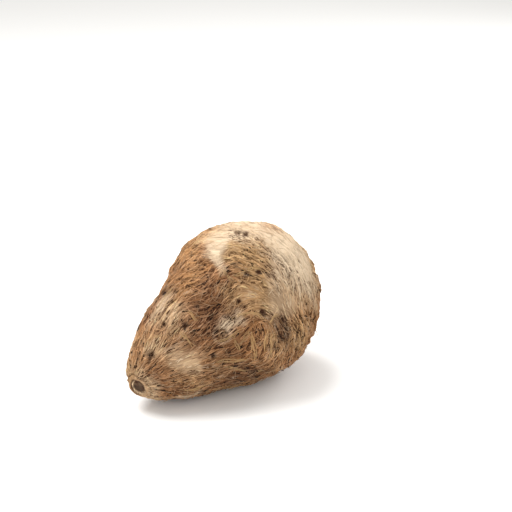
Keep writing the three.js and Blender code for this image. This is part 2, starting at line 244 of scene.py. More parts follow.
def lattice_noise(points, seed):
    """Smooth noise between -1 and 1 at an array of points."""
    cell = np.floor(points).astype(np.int64)
    part = points - cell
    fade = part * part * part * (part * (part * 6 - 15) + 10)
    total = np.zeros(points.shape[:-1])
    for corner in np.ndindex(2, 2, 2):
        at = cell + np.array(corner)
        mixed = at[..., 0] * 73856093 ^ at[..., 1] * 19349663 ^ at[..., 2] * 83492791
        mixed = (mixed ^ (seed * 40503 + 9176)) & 0xFFFFFFFF
        mixed = ((mixed ^ (mixed >> 15)) * 739982445) & 0xFFFFFFFF
        mixed = ((mixed ^ (mixed >> 12)) * 695872825) & 0xFFFFFFFF
        value = ((mixed ^ (mixed >> 15)) & 0xFFFFFF) / 0x7FFFFF - 1.0
        weight = np.prod(np.where(np.array(corner) > 0, fade, 1 - fade), axis=-1)
        total += value * weight
    return total


def smoothstep(value, low, high):
    """0 below low, 1 above high and a soft slope between."""
    share = np.clip((value - low) / (high - low), 0, 1)
    return share * share * (3 - 2 * share)


class Outline:
    """The outline from the scar to the far pole, by its length."""

    def __init__(self):
        def arc(centre, radius, start, end, count):
            turn = np.linspace(start, end, count)[:, None]
            return np.hstack([centre + radius * np.cos(turn), radius * np.sin(turn)])

        upright = math.pi / 2
        nose = arc(NOSE_RADIUS, NOSE_RADIUS, math.pi, upright + NOSE_LEAN, 400)
        belly = arc(LENGTH - BELLY_RADIUS, BELLY_RADIUS, upright + BELLY_LEAN, 0, 1200)
        nose_end, belly_start = nose[-1], belly[0]
        hold = FLANK_FULLNESS * np.linalg.norm(belly_start - nose_end)
        first = nose_end + hold * np.array([math.cos(NOSE_LEAN), math.sin(NOSE_LEAN)])
        second = belly_start - hold * np.array([math.cos(BELLY_LEAN), math.sin(BELLY_LEAN)])
        t = np.linspace(0, 1, 900)[1:-1, None]
        flank = (
            (1 - t) ** 3 * nose_end
            + 3 * (1 - t) ** 2 * t * first
            + 3 * (1 - t) * t**2 * second
            + t**3 * belly_start
        )
        points = np.vstack([nose, flank, belly])
        steps = np.diff(points, axis=0)
        lengths = np.linalg.norm(steps, axis=1)
        self.down = np.concatenate([[0], np.cumsum(lengths)])
        self.length = self.down[-1]
        self.x, self.radius = points[:, 0], points[:, 1]
        slopes = steps / lengths[:, None]
        middle = (self.down[1:] + self.down[:-1]) / 2
        self.slope_x = np.interp(self.down, middle, slopes[:, 0])
        self.slope_r = np.interp(self.down, middle, slopes[:, 1])

    def radius_at(self, down):
        """Distance of the outline from the axis, in mm."""
        return np.interp(down, self.down, self.radius)

    def place(self, down, around):
        """Points of the smooth body in mm, and their normals."""
        x, radius, slope_x, slope_r = (
            np.interp(down, self.down, values)
            for values in (self.x, self.radius, self.slope_x, self.slope_r)
        )
        spoke_y = np.sin(around) * (1 - OVAL)
        spoke_z = np.cos(around) * (1 + OVAL)
        points = np.stack([x, radius * spoke_y, radius * spoke_z], axis=-1)
        normals = np.stack([-slope_r, slope_x * spoke_y, slope_x * spoke_z], axis=-1)
        normals /= np.linalg.norm(normals, axis=-1, keepdims=True)
        cos, sin = math.cos(PITCH), math.sin(PITCH)
        lying = np.array([[cos, 0, -sin], [0, 1, 0], [sin, 0, cos]])
        return points @ lying.T + SCAR_POLE, normals @ lying.T


OUTLINE = Outline()


def offset_from(spot, angle, down, around):
    """How far places lie from a spot, given down and around in degrees: mm along and across."""
    across = (around - math.radians(angle) + math.pi) % (2 * math.pi) - math.pi
    return down - spot, across * OUTLINE.radius_at(spot)


def closeness(spot, down, around, power=2):
    """1 in the middle of a spot, given down, around in degrees and reach, and 0 far from it."""
    along, across = offset_from(*spot[:2], down, around)
    return np.exp(-((np.hypot(along, across) / spot[2]) ** power))


def layered_noise(points, seed, layers):
    """Noise in layers, each with its strength and its size in mm."""
    return sum(
        strength * lattice_noise(points / size, seed + step)
        for step, (strength, size) in enumerate(layers)
    )


def towards(colour, share, shade):
    """Colours moved a share of the way towards another."""
    return colour * (1 - share) + np.array(shade) * share


def husk_left(down, around, points):
    """Share of the husk that is left, from 0 in a worn patch to 1 outside it."""
    left = np.ones(np.shape(down))
    ragged = layered_noise(points, 11, WORN_EDGE)
    for spot, angle, length, breadth, turn in WORN:
        along, across = offset_from(spot, angle, down, around)
        cos, sin = math.cos(math.radians(turn)), math.sin(math.radians(turn))
        along, across = along * cos + across * sin, across * cos - along * sin
        share = np.hypot(2 * along / length, 2 * across / breadth)
        edge = (share - 1) * min(length, breadth) / 2
        left = left * smoothstep(edge + ragged, -1.0, 2.2)
    return left


def zone_colour(down, around, points):
    """Colour of the husk or skin at each place, as linear light."""
    stray = 1 - 0.85 * closeness(CLEAN_WEDGE, down, around)
    warp_along = layered_noise(points, 21, ZONE_WARP) * stray
    warp_across = layered_noise(points, 23, ZONE_WARP) * stray

    def away_from(spot, angle, reach, breadth, straying):
        along, across = offset_from(spot, angle, down, around)
        along, across = along + straying * warp_along, across + straying * warp_across
        return np.hypot(along / reach, across / breadth)

    total = np.full(np.shape(down), 0.25)
    colour = total[..., None] * np.array(BROWN)
    for shade, spots in ZONES.items():
        for *spot, weight in spots:
            share = weight * np.exp(-(away_from(*spot, 1.0) ** 2))
            total += share
            colour = colour + share[..., None] * np.array(shade)
    colour = colour / total[..., None]
    for *spot, strength in STAINS:
        share = strength * np.exp(-((1.1 * away_from(*spot, 0.22)) ** 5))
        colour = towards(colour, share[..., None], PIT)
    along, across = offset_from(*BUD[:2], down, around)
    away = np.hypot(along, across) + 0.12 * warp_along
    for reach, width, shade, strength in BUD_RINGS:
        share = strength * np.exp(-(((away - reach) / width) ** 2))
        colour = towards(colour, share[..., None], shade)
    return colour


def fibre_heading(down, around):
    """Angle between the fibres and the root's length, in radians."""
    usual = math.radians(-78) * smoothstep(down, 46, 84) * (1 - 0.8 * smoothstep(down, 103, 119))
    along, across = 0.35 * np.cos(2 * usual), 0.35 * np.sin(2 * usual)
    for spot, angle, reach, breadth, turn in HEADINGS:
        near, beside = offset_from(spot, angle, down, around)
        share = np.exp(-((near / reach) ** 2) - (beside / breadth) ** 2)
        along = along + share * math.cos(math.radians(2 * turn))
        across = across + share * math.sin(math.radians(2 * turn))
    return np.arctan2(across, along) / 2


def scar_distance(down, around):
    """Distance from the middle of the scar, in mm, and a large number away from the nose."""
    side, up = down * np.sin(around) - SCAR_SIDE, down * np.cos(around) - SCAR_UP
    return np.where(down < 20, np.hypot(side, up), 30.0)


def far_side(down, around):
    """1 on the far side of the scar, where its rings stand clear, and 0 on its near side."""
    return smoothstep(down * np.sin(around) - SCAR_SIDE, -1.5, 2.5)


class Skin:
    """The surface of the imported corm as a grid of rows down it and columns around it."""

    EVEN_REACH = 1.5  # mm over which the body is evened out to find its pits and ridges
    SLIGHT = 0.05  # mm above or below the even body that don't count
    PIT_DEPTH = (0.10, 0.45)  # mm from a slight dent to a full pit
    RIDGE_HEIGHT = (0.10, 0.40)  # mm from a slight rise to a full ridge
    FIBRES_BEGIN = (4.3, 5.4)  # mm from the scar's middle
    HUSK_BEGINS = (4.4, 7.0)  # mm from the scar's middle
    OFF_FLOOR = (0.5, 3.0)  # mm above the floor, where the husk gets its full depth
    COMB_STEP = 0.42  # mm between the places that combed noise is taken from
    ABOVE = 7.0  # mm above the smooth body, where measuring starts
    DEEPEST = 20.0  # mm that it reaches down from there

    def __init__(self, rows, columns, fibre_relief):
        self.rows, self.columns = rows, columns
        downs = (np.arange(rows) + 0.5) * OUTLINE.length / rows
        arounds = np.arange(columns) * 2 * math.pi / columns - math.pi
        self.down, self.around = np.meshgrid(downs, arounds, indexing="ij")
        places = self.down, self.around
        self.ground, outward = OUTLINE.place(*places)
        measured = self.measure(outward)
        even = self.smooth(measured, self.EVEN_REACH)
        fine = measured - even
        feature = np.sign(fine) * np.maximum(np.abs(fine) - self.SLIGHT, 0)
        self.husk = husk_left(*places, self.ground)
        self.pit = smoothstep(-feature, *self.PIT_DEPTH) * (1 - 0.7 * closeness(BUD, *places, 4))
        self.ridge = smoothstep(feature, *self.RIDGE_HEIGHT)
        self.rim = np.clip(self.smooth(self.pit, 0.9) * 2.2 - self.pit, 0, 1) * (1 - self.pit)
        scar = scar_distance(*places)
        self.clear = (1 - self.pit) * smoothstep(scar - far_side(*places), *self.FIBRES_BEGIN)
        grain = np.random.default_rng(7).normal(0, 1, (rows, columns))
        self.thread = self.combed(grain, 1.8)
        self.streak = self.combed(self.smooth(grain, 0.8), 4.0)
        off_scar = smoothstep(scar, *self.HUSK_BEGINS)
        relief = (0.6 * self.streak + 0.5 * self.thread) * (0.3 + 0.7 * self.husk) * off_scar
        swell = NOSE_SWELL * closeness(NOSE_EDGE, *places)
        sunk = HUSK_DEPTH * (0.25 + 0.75 * self.husk) * off_scar
        sunk *= smoothstep(self.ground[..., 2], *self.OFF_FLOOR)
        height = even + swell - sunk + feature + fibre_relief * relief
        self.points = self.ground + outward * height[..., None]
        self.points[..., 2] = np.maximum(self.points[..., 2], 0)
        self.normals = self.surface_normals(outward)

    def measure(self, outward):
        """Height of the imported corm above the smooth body, in mm."""
        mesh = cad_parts["corm"].data
        corners = [vertex.co / MM for vertex in mesh.vertices]
        faces = [tuple(face.vertices) for face in mesh.polygons]
        tree = BVHTree.FromPolygons(corners, faces)
        heights = np.zeros(outward.shape[:-1])
        starts = self.ground + outward * self.ABOVE
        for index in np.ndindex(heights.shape):
            hit = tree.ray_cast(Vector(starts[index]), Vector(-outward[index]), self.DEEPEST)
            if hit[3] is not None:
                heights[index] = self.ABOVE - hit[3]
        return heights

    def smooth(self, heights, reach):
        """Heights evened out over a distance in mm, both along and around the root."""
        spacing = OUTLINE.length / self.rows
        half = math.ceil(3 * reach / spacing)
        turned = np.roll(heights, self.columns // 2, axis=1)
        padded = np.vstack([turned[:half][::-1], heights, turned[-half:][::-1]])
        kernel = np.exp(-0.5 * (np.arange(-half, half + 1) * spacing / reach) ** 2)
        kernel /= kernel.sum()
        even = sum(
            weight * padded[step:step + self.rows] for step, weight in enumerate(kernel)
        )
        waves = np.fft.rfft(even, axis=1)
        radius = np.maximum(OUTLINE.radius_at(self.down[:, :1]), 0.5)
        count = np.arange(waves.shape[1])[None, :]
        waves *= np.exp(-0.5 * (count * reach / radius) ** 2)
        return np.fft.irfft(waves, n=self.columns, axis=1)

    def combed(self, grain, reach):
        """Noise drawn out along the fibres for a distance in mm each way, with unit spread."""
        total = grain.copy()
        for step in (-self.COMB_STEP, self.COMB_STEP):
            down, around = self.down, self.around
            for _ in range(int(reach / self.COMB_STEP)):
                heading = fibre_heading(down, around)
                radius = np.maximum(OUTLINE.radius_at(down), 2.0)
                down = np.clip(down + step * np.cos(heading), 0.3, OUTLINE.length - 0.3)
                around = around + step * np.sin(heading) / radius
                total += self.sample(grain, down, around)
        return total / total.std()

    def surface_normals(self, outward):
        """Normals of the finished surface."""
        longer = np.vstack([self.points[:1], self.points, self.points[-1:]])
        along = longer[2:] - longer[:-2]
        across = np.roll(self.points, -1, axis=1) - np.roll(self.points, 1, axis=1)
        normals = np.cross(across, along)
        normals *= np.sign((normals * outward).sum(-1, keepdims=True))
        size = np.linalg.norm(normals, axis=-1, keepdims=True)
        return np.where(size > 1e-9, normals / np.maximum(size, 1e-9), outward)

    def sample(self, grid, down, around):
        """Values of a grid at places between its points."""
        row = np.clip(down / OUTLINE.length * self.rows - 0.5, 0, self.rows - 1.001)
        column = (around + math.pi) / (2 * math.pi) * self.columns
        top, left = np.floor(row).astype(int), np.floor(column).astype(int)
        below, beside = row - top, column - left
        left, right = left % self.columns, (left + 1) % self.columns
        if grid.ndim == 3:
            below, beside = below[..., None], beside[..., None]
        upper = grid[top, left] * (1 - beside) + grid[top, right] * beside
        lower = grid[top + 1, left] * (1 - beside) + grid[top + 1, right] * beside
        return upper * (1 - below) + lower * below


@functools.cache
def the_skin():
    """The measured surface, made once from the panel's settings."""
    settings = bpy.context.scene.taro_skin
    return Skin(settings.rows, settings.columns, settings.fibre_relief / MM)


def new_mesh(name, points, *faces):
    """A mesh object from points in mm and groups of faces with as many corners each."""
    mesh = bpy.data.meshes.new(name)
    loops = np.concatenate([group.ravel() for group in faces])
    sizes = np.concatenate([np.full(len(group), group.shape[1]) for group in faces])
    mesh.vertices.add(len(points))
    mesh.vertices.foreach_set("co", (points * MM).astype(np.float32).ravel())
    mesh.loops.add(len(loops))
    mesh.loops.foreach_set("vertex_index", loops.astype(np.int32))
    mesh.polygons.add(len(sizes))
    mesh.polygons.foreach_set("loop_start", (np.cumsum(sizes) - sizes).astype(np.int32))
    mesh.polygons.foreach_set("use_smooth", np.ones(len(sizes), dtype=bool))
    mesh.update(calc_edges=True)
    mesh.validate()
    made = bpy.data.objects.new(name, mesh)
    bpy.context.scene.collection.objects.link(made)
    return made


def add_attribute(mesh, name, kind, values):
    """A value for each vertex, of kind FLOAT, FLOAT_VECTOR or FLOAT_COLOR."""
    attribute = mesh.attributes.new(name, kind, "POINT")
    field = {"FLOAT": "value", "FLOAT_VECTOR": "vector", "FLOAT_COLOR": "color"}[kind]
    if kind == "FLOAT_COLOR":
        values = np.hstack([values, np.ones((len(values), 1))])
    attribute.data.foreach_set(field, values.astype(np.float32).ravel())


def add_bake_map(mesh, corner_uv):
    """The UV map that the baked colours are laid on."""
    layer = mesh.uv_layers.new(name="OFBake")
    layer.data.foreach_set("uv", corner_uv.astype(np.float32).ravel())


class Value:
    """A shader socket that takes part in Python arithmetic."""

    def __init__(self, graph, socket):
        self.graph, self.socket = graph, socket

    def math(self, operation, first, second):
        """One Math node on two values."""
        return self.graph.node("ShaderNodeMath", {"operation": operation}, {0: first, 1: second})

    def __add__(self, other):
        return self.math("ADD", self, other)

    def __sub__(self, other):
        return self.math("SUBTRACT", self, other)

    def __rsub__(self, other):
        return self.math("SUBTRACT", other, self)

    def __mul__(self, other):
        return self.math("MULTIPLY", self, other)

    def slope(self, low, high):
        """0 below low, 1 above high and a soft slope between."""
        return self.graph.node(
            "ShaderNodeMapRange",
            {"interpolation_type": "SMOOTHSTEP"},
            {"Value": self, "From Min": low, "From Max": high},
        )


class Graph:
    """The node tree of a new material with a Principled surface."""

    def __init__(self, name):
        self.material = bpy.data.materials.new(name)
        self.material.use_nodes = True
        self.tree = self.material.node_tree
        self.surface = self.tree.nodes["Principled BSDF"]

    def set(self, sockets, key, value):
        """Gives an input a constant or links a value to it."""
        if isinstance(value, Value):
            self.tree.links.new(value.socket, sockets[key])
        else:
            sockets[key].default_value = value

    def node(self, kind, settings=None, inputs=None, output=0):
        """A node of any kind, as the value of one of its outputs."""
        made = self.tree.nodes.new(kind)
        for key, value in (settings or {}).items():
            setattr(made, key, value)
        for key, value in (inputs or {}).items():
            self.set(made.inputs, key, value)
        return Value(self, made.outputs[output])

    def attribute(self, name, output="Fac"):
        """A value that the mesh carries."""
        return self.node("ShaderNodeAttribute", {"attribute_name": name}, output=output)

    def mix(self, factor, first, second):
        """Two colours mixed. A fixed one has three parts."""
        inputs = {0: factor}
        for key, value in ((6, first), (7, second)):
            inputs[key] = (*value, 1.0) if isinstance(value, tuple) else value
        return self.node("ShaderNodeMix", {"data_type": "RGBA"}, inputs, output=2)

    def noise(self, vector, **inputs):
        """Noise between 0 and 1."""
        return self.node("ShaderNodeTexNoise", None, {"Vector": vector, **inputs})

    def finish(self, **inputs):
        """Sets the surface's inputs, named with underscores for spaces."""
        for key, value in inputs.items():
            self.set(self.surface.inputs, key.replace("_", " "), value)
        return self.material


def skin_material():
    """Dry husk over pale skin, with its threads drawn along the fibres, darker skin deepened by
    painted shade between them, and paler thread tops partly painted as a highlight.
    """
    graph = Graph("taro husk")
    place = graph.attribute("place", "Vector")
    zone = graph.attribute("zone", "Color")
    husk = graph.attribute("husk")
    pit = graph.attribute("pit")
    streak = graph.attribute("streak")
    thread = graph.attribute("thread")
    mottle = graph.noise(place, Scale=0.5, Detail=4.0, Roughness=0.62, Distortion=0.4)
    grain = graph.noise(place, Scale=3.0, Detail=3.0, Roughness=0.65)
    # Painted shade: the low places between the raised threads are darkened towards the pit colour,
    # together with darker mottled patches of skin
    gap_shade_and_mottle = (0.25 - streak * 0.5 - thread * 0.45 - (mottle - 0.5) * 2.4).slope(0.0, 0.9)
    gap_shade_and_mottle = gap_shade_and_mottle * (husk * 0.6 + 0.34)
    dark = graph.mix(0.82, zone, PIT)
    base = graph.mix(gap_shade_and_mottle, zone, dark)
    # Painted highlight, partly the paler colour of the fibres: the raised threads are lightened
    # towards cream and made a little glossier
    light = (streak * 0.3 + thread * 0.5 - 0.25).slope(0.0, 1.1) * 0.5
    base = graph.mix(light, base, graph.mix(0.55, zone, CREAM))
    speckle = (grain - 0.62).slope(0.0, 0.1) * (husk * 0.5 + 0.2)
    base = graph.mix(speckle, base, dark)
    base = graph.mix(graph.attribute("rim") * 0.3, base, PALE)
    base = graph.mix(graph.attribute("ridge") * 0.5, base, TAN)
    base = graph.mix(pit * 0.95, base, PIT)
    bump = {"Strength": 0.6, "Distance": 0.3 * MM, "Height": grain * 0.7 + mottle * 0.5}
    return graph.finish(
        Base_Color=base,
        Roughness=0.88 - light * 0.2,
        Specular_IOR_Level=0.25,
        Normal=graph.node("ShaderNodeBump", None, bump),
    )


def scar_shade(colour, down, around, points):
    """The colour round the scar: a dark core, a papery ring partly painted as a highlight, painted
    shade in its groove and a pale rim.
    """
    far = far_side(down, around)
    away = scar_distance(down, around) * (1.16 + 0.24 * far)
    away += 0.4 * lattice_noise(points / 1.3, 41)
    core = lattice_noise(points / 0.8, 42)[..., None] * 0.6 + 0.5
    patchy = 0.3 * lattice_noise(points / 1.1, 43)
    for low, high, shade, near_side in SCAR_RINGS:
        share = smoothstep(away, low - 0.2, low + 0.2)
        share = share * (1 - smoothstep(away, high - 0.2, high + 0.2))
        if near_side < 1:
            near_share = near_side + patchy
            share = share * np.clip(near_share + (1 - near_share) * far, 0, 1)
        tone = 0.5 + core if low > 0 else 2.4 * core - 0.2
        colour = towards(colour, share[..., None], np.array(shade) * tone)
    return colour


class Strokes:
    """Many fibres that lie along the skin, each a row of points with a breadth and a colour."""

    def __init__(self, seed, count, steps):
        self.random = np.random.default_rng(seed)
        self.count, self.steps = count, steps

    def scatter(self, keep):
        """Places spread evenly by area, kept with the chance that `keep` gives."""
        skin = the_skin()
        found = np.empty((2, 0))
        while found.shape[1] < self.count:
            down = self.random.uniform(1.0, OUTLINE.length - 1.0, 4 * self.count)
            around = self.random.uniform(-math.pi, math.pi, 4 * self.count)
            by_area = OUTLINE.radius_at(down) / BELLY_RADIUS
            chance = by_area * keep(down, around, skin) * skin.sample(skin.clear, down, around)
            kept = self.random.uniform(0, 1, len(down)) < chance
            found = np.hstack([found, np.stack([down, around])[:, kept]])
        return found[:, :self.count]

    def trace(self, down, around, length, spread, curl):
        """Walks each fibre over the skin, along the way the fibres run there."""
        skin = the_skin()
        points = skin.sample(skin.ground, down, around)
        astray = spread * self.random.normal(0, 1, self.count)
        astray += layered_noise(points, 51, FIBRE_STRAY)
        turning = curl * self.random.normal(0, 1, self.count)
        before = fibre_heading(down, around)
        heading = before + np.pi * (self.random.uniform(0, 1, self.count) < 0.5)
        step = length / (self.steps - 1)
        places = []
        for _ in range(self.steps):
            places.append((down, around))
            radius = np.maximum(OUTLINE.radius_at(down), 3.0)
            down = np.clip(down + np.cos(heading + astray) * step, 0.6, OUTLINE.length - 0.6)
            around = around + np.sin(heading + astray) * step / radius
            now = fibre_heading(down, around)
            heading = heading + (now - before + np.pi / 2) % np.pi - np.pi / 2
            before = now
            astray = astray + turning * step
        return np.stack(places, axis=-1)


def fibre_object(name, laid, lift, breadth, height, colour, roughness):
    """Fibres with a roof-shaped section on the skin. The height is a share of the breadth."""
    skin = the_skin()
    count, steps = laid[0].shape
    normals = skin.sample(skin.normals, *laid)
    normals /= np.linalg.norm(normals, axis=-1, keepdims=True)
    middle = skin.sample(skin.points, *laid) + normals * lift[..., None]
    along = np.gradient(middle, axis=1)
    along /= np.maximum(np.linalg.norm(along, axis=-1, keepdims=True), 1e-9)
    side = np.cross(normals, along)
    share = np.linspace(0, 1, steps)[None, :]
    taper = np.sqrt(np.maximum(1 - np.abs(2 * share - 1) ** 3, 0.04))
    taper = taper * skin.sample(skin.clear, *laid)
    half = (breadth[:, None] * taper / 2)[..., None]
    ridge = (height * breadth[:, None] * taper)[..., None]
    sunk = -FOOT * normals
    rails = np.stack([
        middle - side * half + sunk,
        middle + normals * ridge,
        middle + side * half + sunk,
    ], axis=2)
    rails[..., 2] = np.maximum(rails[..., 2], FLOOR_GAP)
    index = np.arange(count * steps * 3).reshape(count, steps, 3)
    quads = np.concatenate([
        np.stack([
            index[:, :-1, rail], index[:, :-1, rail + 1],
            index[:, 1:, rail + 1], index[:, 1:, rail],
        ], axis=-1).reshape(-1, 4)
        for rail in (0, 1)
    ])
    made = new_mesh(name, rails.reshape(-1, 3), quads)
    tone = np.broadcast_to(colour[:, :, None, :], (count, steps, 3, 3)).reshape(-1, 3)
    add_attribute(made.data, "shade", "FLOAT_COLOR", np.clip(tone, 0, 1))
    side_cells = math.ceil(math.sqrt(count))
    cell = np.arange(count)
    corner = np.stack([cell % side_cells, cell // side_cells], axis=1)[:, None, None, :]
    across = (np.linspace(CELL_MARGIN, 1 - CELL_MARGIN, number) for number in (steps, 3))
    inner = np.stack(np.meshgrid(*across, indexing="ij"), axis=-1)[None]
    uv = ((corner + inner) / side_cells).reshape(-1, 2)
    add_bake_map(made.data, uv[quads.ravel()])
    graph = Graph(name.replace("_", " "))
    shade = graph.attribute("shade", "Color")
    made.data.materials.append(
        graph.finish(Base_Color=shade, Roughness=roughness, Specular_IOR_Level=0.15)
    )
    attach(made, "root")


class TaroSkinSettings(bpy.types.PropertyGroup):
    """Sizes of the skin's surface."""

    rows: IntProperty(
        name="Rows", description="Rows of the skin from the scar to the round end", default=300
    )
    columns: IntProperty(
        name="Columns", description="Columns of the skin around the root", default=330
    )
    fibre_relief: FloatProperty(
        name="Fibre relief",
        description="Height of the fibres that are part of the skin",
        default=0.36 * MM,
        subtype="DISTANCE",
        unit="LENGTH",
    )


class TaroFibreSettings(bpy.types.PropertyGroup):
    """Numbers and sizes of the fibres."""

    pale: IntProperty(
        name="Pale fibres", description="Number of pale fibres on the skin", default=12000
    )
    dark: IntProperty(
        name="Dark fibres", description="Number of dark fibres on the skin", default=12000
    )
    strips: IntProperty(
        name="Strips", description="Number of broad husk strips", default=700
    )
    hairs: IntProperty(
        name="Loose hairs", description="Number of hairs that stand off the skin", default=1000
    )
    breadth: FloatProperty(
        name="Breadth",
        description="Breadth of a fine fibre",
        default=0.31 * MM,
        subtype="DISTANCE",
        unit="LENGTH",
    )


class TaroStageSettings(bpy.types.PropertyGroup):
    """The camera and the light."""

    azimuth: FloatProperty(
        name="Azimuth",
        description="Turn of the camera about the root",
        default=math.radians(-40.09),
        subtype="ANGLE",
        unit="ROTATION",
    )
    elevation: FloatProperty(
        name="Elevation",
        description="Angle of the camera above the floor",
        default=math.radians(20.91),
        subtype="ANGLE",
        unit="ROTATION",
    )
    distance: FloatProperty(
        name="Distance",
        description="From the camera to the point it looks at",
        default=0.51897,
        subtype="DISTANCE",
        unit="LENGTH",
    )
    aim: FloatVectorProperty(
        name="Aim",
        description="The point that the camera looks at",
        default=(0.01679, -0.00366, 0.05511),
        subtype="XYZ",
        unit="LENGTH",
    )
    lens: FloatProperty(name="Lens", description="Focal length in mm", default=85.0)
    key_power: FloatProperty(
        name="Key light", description="Power of the light above", default=5.0, unit="POWER"
    )


class TARO_OT_skin(bpy.types.Operator):
    """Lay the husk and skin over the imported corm"""

    bl_idname = "taro.skin"
    bl_label = "Skin"

    def execute(self, context):
        skin = the_skin()
        rows, columns = skin.rows, skin.columns
        index = np.arange(rows * columns).reshape(rows, columns)
        beside = np.roll(index, -1, axis=1)
        quads = np.stack([index[:-1], index[1:], beside[1:], beside[:-1]], axis=-1).reshape(-1, 4)
        scar, tip = rows * columns, rows * columns + 1
        triangles = np.concatenate([
            np.stack([index[0], beside[0], np.full(columns, scar)], axis=-1),
            np.stack([beside[-1], index[-1], np.full(columns, tip)], axis=-1),
        ])

        def per_vertex(grid):
            """Values of a grid for each vertex, with means for the two at the ends."""
            grid = grid.reshape(rows, columns, -1)
            flat = grid.reshape(rows * columns, -1)
            return np.vstack([flat, grid[0].mean(0), grid[-1].mean(0)])

        made = new_mesh("corm_skin", per_vertex(skin.points), quads, triangles)
        mesh = made.data
        colour = zone_colour(skin.down, skin.around, skin.ground)
        colour = scar_shade(colour, skin.down, skin.around, skin.ground)
        add_attribute(mesh, "zone", "FLOAT_COLOR", per_vertex(colour))
        add_attribute(mesh, "place", "FLOAT_VECTOR", per_vertex(skin.ground))
        for name in ("husk", "pit", "rim", "ridge", "streak", "thread"):
            add_attribute(mesh, name, "FLOAT", per_vertex(getattr(skin, name)))
        row, column = (grid[..., None] for grid in np.indices((rows - 1, columns)))
        ends = np.arange(columns)[:, None]
        u = np.concatenate([
            (column + (0, 0, 1, 1)).ravel(),
            (ends + (0, 1, 0.5)).ravel(), (ends + (1, 0, 0.5)).ravel(),
        ]) / columns
        v = np.concatenate([
            (row + (0.5, 1.5, 1.5, 0.5)).ravel(),
            np.tile((0.5, 0.5, 0), columns), np.tile((rows - 0.5, rows - 0.5, rows), columns),
        ]) / rows
        add_bake_map(mesh, MAP_MARGIN + (1 - 2 * MAP_MARGIN) * np.stack([u, v], axis=-1))
        mesh.materials.append(skin_material())
        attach(made, "root")
        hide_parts("corm")
        return {"FINISHED"}


class TARO_OT_fibres(bpy.types.Operator):
    """Lay the pale and dark fibres of the husk on the skin"""

    bl_idname = "taro.fibres"
    bl_label = "Fibres"

    LENGTHS = (1.8, 5.8)  # mm
    FLECK_LENGTHS = (1.0, 3.2)  # mm, of the short broad fibres among the dark ones
    FLECK_SHARE = 0.17
    FLECK_BREADTH = 1.8  # times that of a fine fibre
    CROSSING_SHARE = 0.20  # of the fibres, on the shaggy middle
    CROSSING_DROP = 0.12  # less than that at both ends
    SPREAD = 0.17  # radians, of the headings
    CROSSING_SPREAD = 0.9  # radians
    HEIGHT = 0.45  # of the breadth

    def execute(self, context):
        settings = context.scene.taro_fibres
        skin = the_skin()
        breadth = settings.breadth / MM
        for name, seed, count, pale in (
            ("pale_fibres", 61, settings.pale, True),
            ("dark_fibres", 62, settings.dark, False),
        ):
            strokes = Strokes(seed, count, 5)
            random = strokes.random

            def keep(down, around, on):
                husk = on.sample(on.husk, down, around)
                return (0.55 + 0.45 * husk) if pale else (0.30 + 0.70 * husk)

            down, around = strokes.scatter(keep)
            left = skin.sample(skin.husk, down, around)
            flecks = 0 if pale else self.FLECK_SHARE
            fleck = (random.uniform(0, 1, count) < flecks) & (left > 0.5)
            length = random.uniform(*self.LENGTHS, count) * (0.7 + 0.3 * left)
            length = np.where(fleck, random.uniform(*self.FLECK_LENGTHS, count), length)
            tidy = smoothstep(down, 48, 40) + smoothstep(down, 86, 96)
            crossing = random.uniform(0, 1, count) < self.CROSSING_SHARE - self.CROSSING_DROP * tidy
            spread = np.where(crossing, self.CROSSING_SPREAD, self.SPREAD)
            laid = strokes.trace(down, around, length, spread, 0.05)
            points = skin.sample(skin.ground, *laid)
            zone = scar_shade(zone_colour(*laid, points), *laid, points)
            share = np.where(fleck, 1.0, random.uniform(0, 1, count))[:, None, None]
            if pale:
                colour = np.minimum(zone * (1.0 + 1.5 * share**2), np.array(CREAM) * 1.04)
                colour = towards(colour, 0.32 * share, PALE)
            else:
                bright = smoothstep(zone[..., 1:2], 0.16, 0.42)
                darker = (0.36 + 0.70 * share) * (0.56 + 0.44 * left[:, None, None])
                darker = darker * (1 - 0.32 * bright) * DARKER_PARTS
                colour = zone * np.maximum(1 - darker, 0.05)
            lift = random.uniform(0.0, 0.16 if pale else 0.06, count)[:, None]
            size = breadth * random.uniform(0.6, 1.3, count)
            size = size * np.where(fleck, self.FLECK_BREADTH, 1.0)
            fibre_object(name, laid, lift, size, self.HEIGHT, colour, 0.7 if pale else 0.85)
        return {"FINISHED"}


